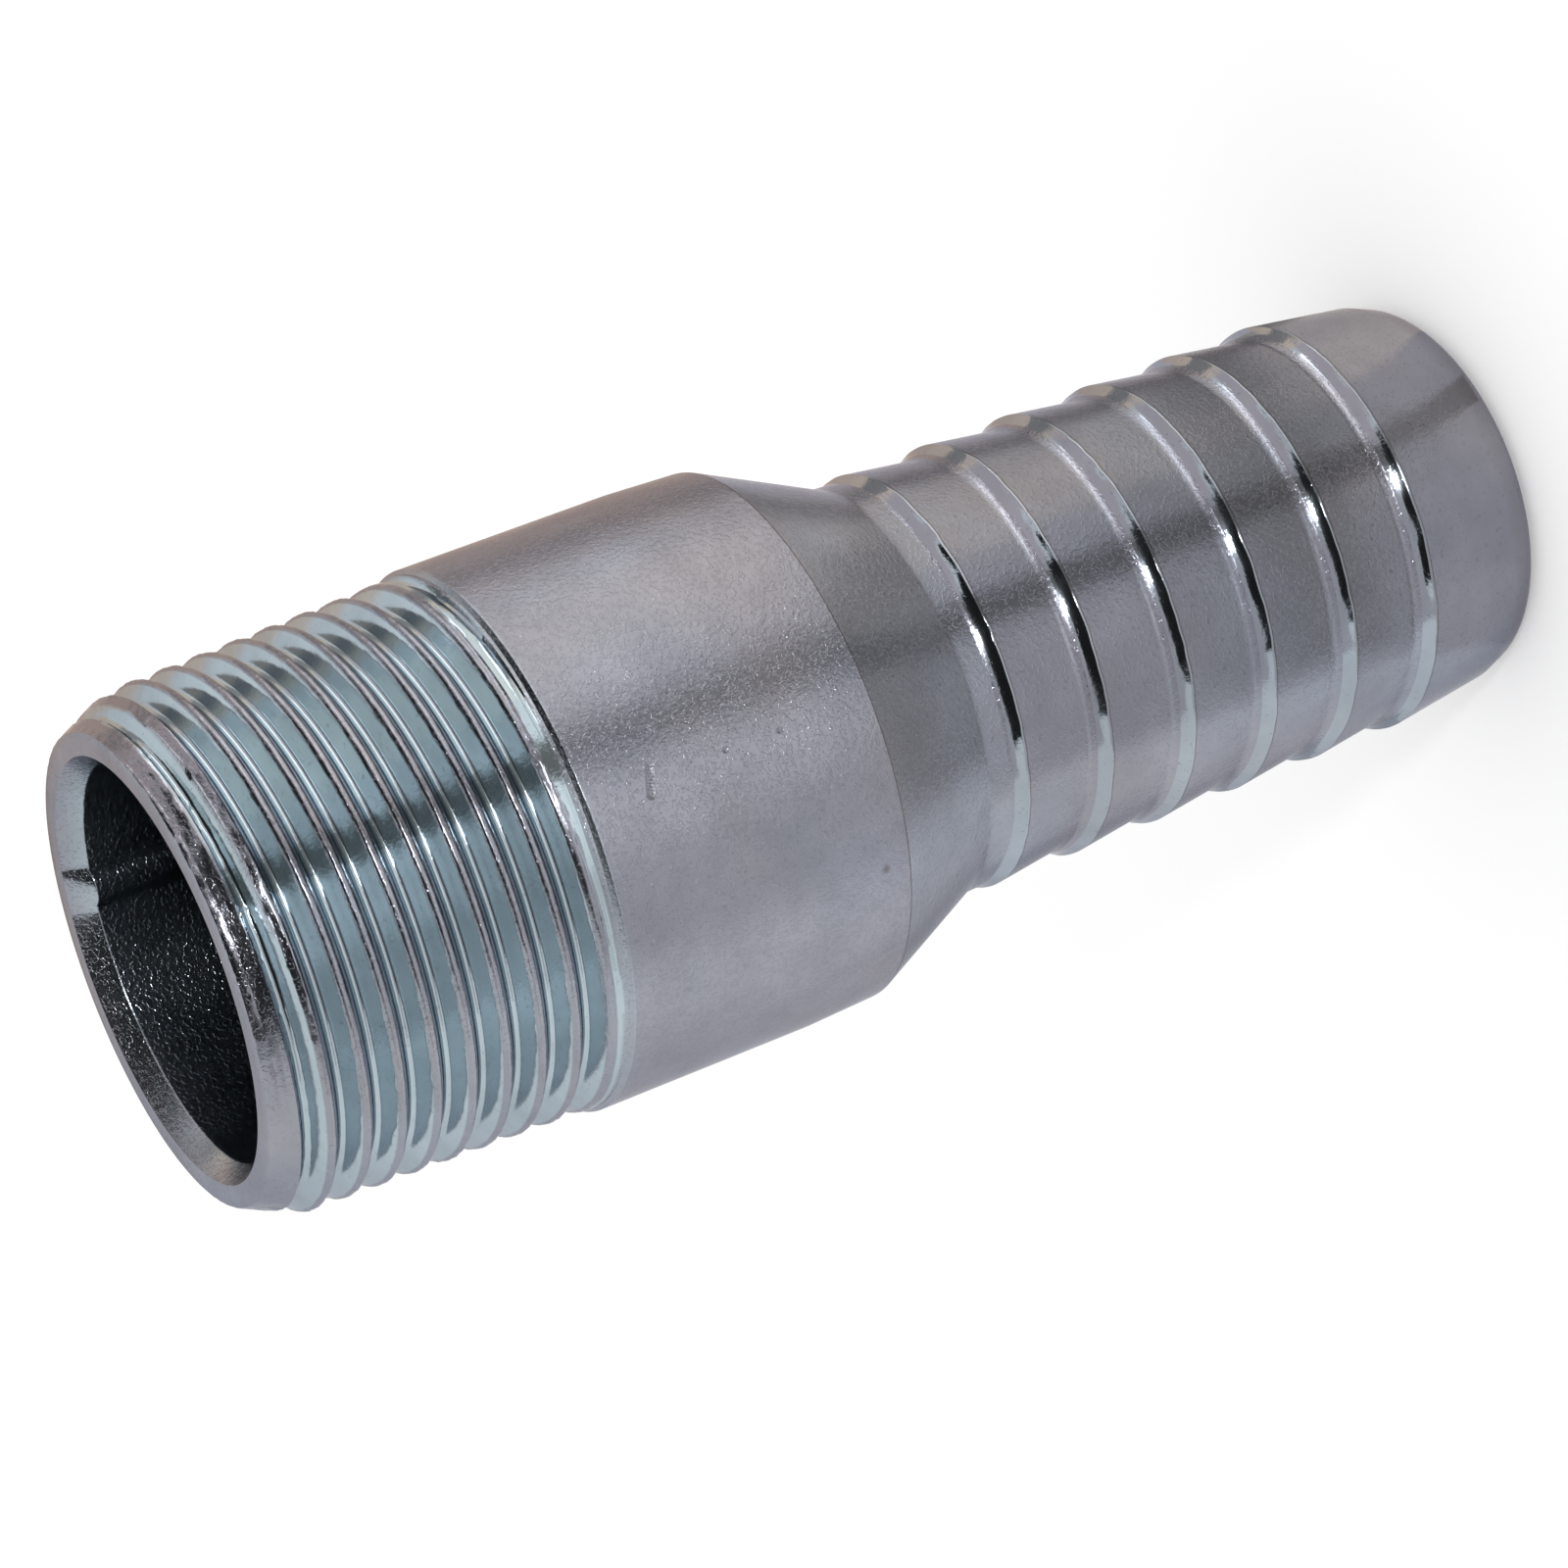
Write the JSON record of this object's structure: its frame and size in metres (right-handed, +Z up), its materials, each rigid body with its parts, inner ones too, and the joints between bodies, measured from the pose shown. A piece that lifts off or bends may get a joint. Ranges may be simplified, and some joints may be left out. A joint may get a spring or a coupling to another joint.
{
  "type": "hose barb tail",
  "caption": "Swaged steel hose tail with a taper pipe thread at one end, a plain barrel, a coned neck and a barbed shank that grips the inside of a hose.",
  "frame": {"origin": "middle of the hose end's flat rim, which the part stands on", "axes": "+Z up the tube's axis to the threaded end, -Y faces the viewer; the welded seam inside lies 61 degrees from +X towards +Y"},
  "size_m": [0.034, 0.034, 0.0893],
  "materials": {
    "zinc_plated_steel": "bright zinc plate over drawn steel tube, satin on the barrel and shinier on the thread and barbs"
  },
  "bodies": {
    "root": {"hose_barb_tail": "zinc_plated_steel"}
  },
  "joints": []
}
